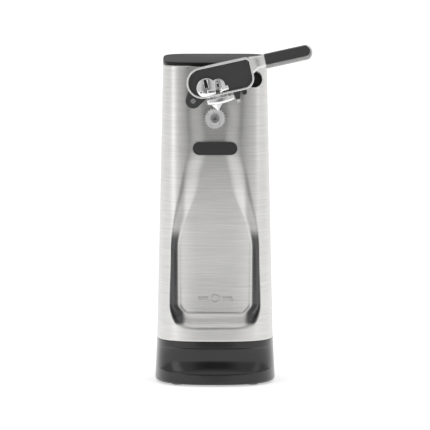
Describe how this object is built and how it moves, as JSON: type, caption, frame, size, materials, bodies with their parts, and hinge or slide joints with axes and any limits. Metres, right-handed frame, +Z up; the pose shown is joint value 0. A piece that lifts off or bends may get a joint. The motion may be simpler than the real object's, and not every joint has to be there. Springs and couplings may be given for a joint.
{
  "type": "electric can opener",
  "caption": "Upright electric can opener with a brushed steel front, a toothed feed wheel, a hinged cutter lever, a start button and a geared motor inside.",
  "frame": {"origin": "on the surface that the feet stand on, below the middle of the body", "axes": "+Z up, the front with the lever and the feed wheel faces -Y, the handle points to +X"},
  "size_m": [0.1163, 0.1021, 0.2538],
  "materials": {
    "skin_steel": "horizontally brushed satin",
    "black_gloss": "gloss",
    "black_matte": "matte",
    "dark_rubber": "matte",
    "zinc_steel": "zinc plated",
    "bright_chrome": "polished",
    "brass_bush": "machined",
    "frame_steel": "plated sheet",
    "core_steel": "laminated",
    "copper": "enamelled wire and bar",
    "nylon_natural": "moulded",
    "wheel_steel": "ground"
  },
  "bodies": {
    "housing": {"front_skin": "skin_steel", "rear_housing": "black_gloss", "housing_screws": "zinc_steel", "top_cap": "black_gloss", "base_housing": "black_gloss", "base_plate": "black_matte", "rubber_feet": "dark_rubber", "base_screws": "zinc_steel", "can_rest_pad": "dark_rubber", "pivot_boss": "zinc_steel", "pivot_washer": "zinc_steel", "pivot_pin": "bright_chrome", "pivot_clip": "zinc_steel", "lever_stop": "dark_rubber", "switch_bezel": "black_gloss", "switch_body": "black_matte", "front_bush": "brass_bush", "rear_bush": "brass_bush", "idler_axle_1": "zinc_steel", "idler_axle_2": "zinc_steel", "gear_frame": "frame_steel", "gear_plate": "frame_steel", "frame_posts": "zinc_steel", "plate_screws": "zinc_steel", "motor_stator": "core_steel", "shading_rings": "copper", "coil_bobbin": "nylon_natural", "motor_coil": "copper", "motor_bracket_front": "frame_steel", "motor_bracket_rear": "frame_steel", "motor_bearing_front": "brass_bush", "motor_bearing_rear": "brass_bush", "motor_spacers": "zinc_steel", "motor_bolts": "zinc_steel", "side_brackets": "frame_steel", "cord_gland": "dark_rubber"},
    "feed": {"feed_wheel": "wheel_steel", "drive_shaft": "zinc_steel", "output_gear": "nylon_natural"},
    "idler_2": {"idler_gear_2": "nylon_natural"},
    "idler_1": {"idler_gear_1": "nylon_natural"},
    "rotor": {"rotor_core": "core_steel", "rotor_shaft": "zinc_steel", "motor_pinion": "brass_bush"},
    "lever": {"lever_frame": "skin_steel", "handle_grip": "black_gloss", "lever_insert": "black_gloss", "cutter_bracket": "bright_chrome", "cutter_screw": "bright_chrome", "blade_rivet": "bright_chrome", "cutter_blade": "wheel_steel", "lever_carrier": "black_gloss", "rim_guide": "bright_chrome", "magnet_holder": "black_matte", "lid_magnet": "wheel_steel"},
    "plunger": {"switch_plunger": "black_gloss"}
  },
  "joints": [
    {"name": "wheel_spin", "type": "hinge", "parent": "housing", "child": "feed", "pos_m": [0, 0, 0.199], "axis": [0, 1, 0], "continuous": true},
    {"name": "idler_2_spin", "type": "hinge", "parent": "housing", "child": "idler_2", "pos_m": [0.014, 0, 0.17533], "axis": [0, 1, 0], "continuous": true},
    {"name": "idler_1_spin", "type": "hinge", "parent": "housing", "child": "idler_1", "pos_m": [-0.00809, 0, 0.16595], "axis": [0, 1, 0], "continuous": true},
    {"name": "rotor_spin", "type": "hinge", "parent": "housing", "child": "rotor", "pos_m": [-0.00009, 0, 0.14654], "axis": [0, 1, 0], "continuous": true},
    {"name": "lever_tilt", "type": "hinge", "parent": "housing", "child": "lever", "pos_m": [-0.016, 0, 0.2122], "axis": [0, -1, 0], "range_deg": [0, 40]},
    {"name": "plunger_press", "type": "slide", "parent": "housing", "child": "plunger", "axis": [0, 1, 0], "range_m": [0, 0.002], "stiffness_N_per_m": 150, "springref_m": -0.001}
  ],
  "couplings": [
    {"joint": "idler_1_spin", "follows": "rotor_spin", "ratio": -0.2},
    {"joint": "idler_2_spin", "follows": "rotor_spin", "ratio": 0.04},
    {"joint": "wheel_spin", "follows": "rotor_spin", "ratio": -0.0088889}
  ]
}
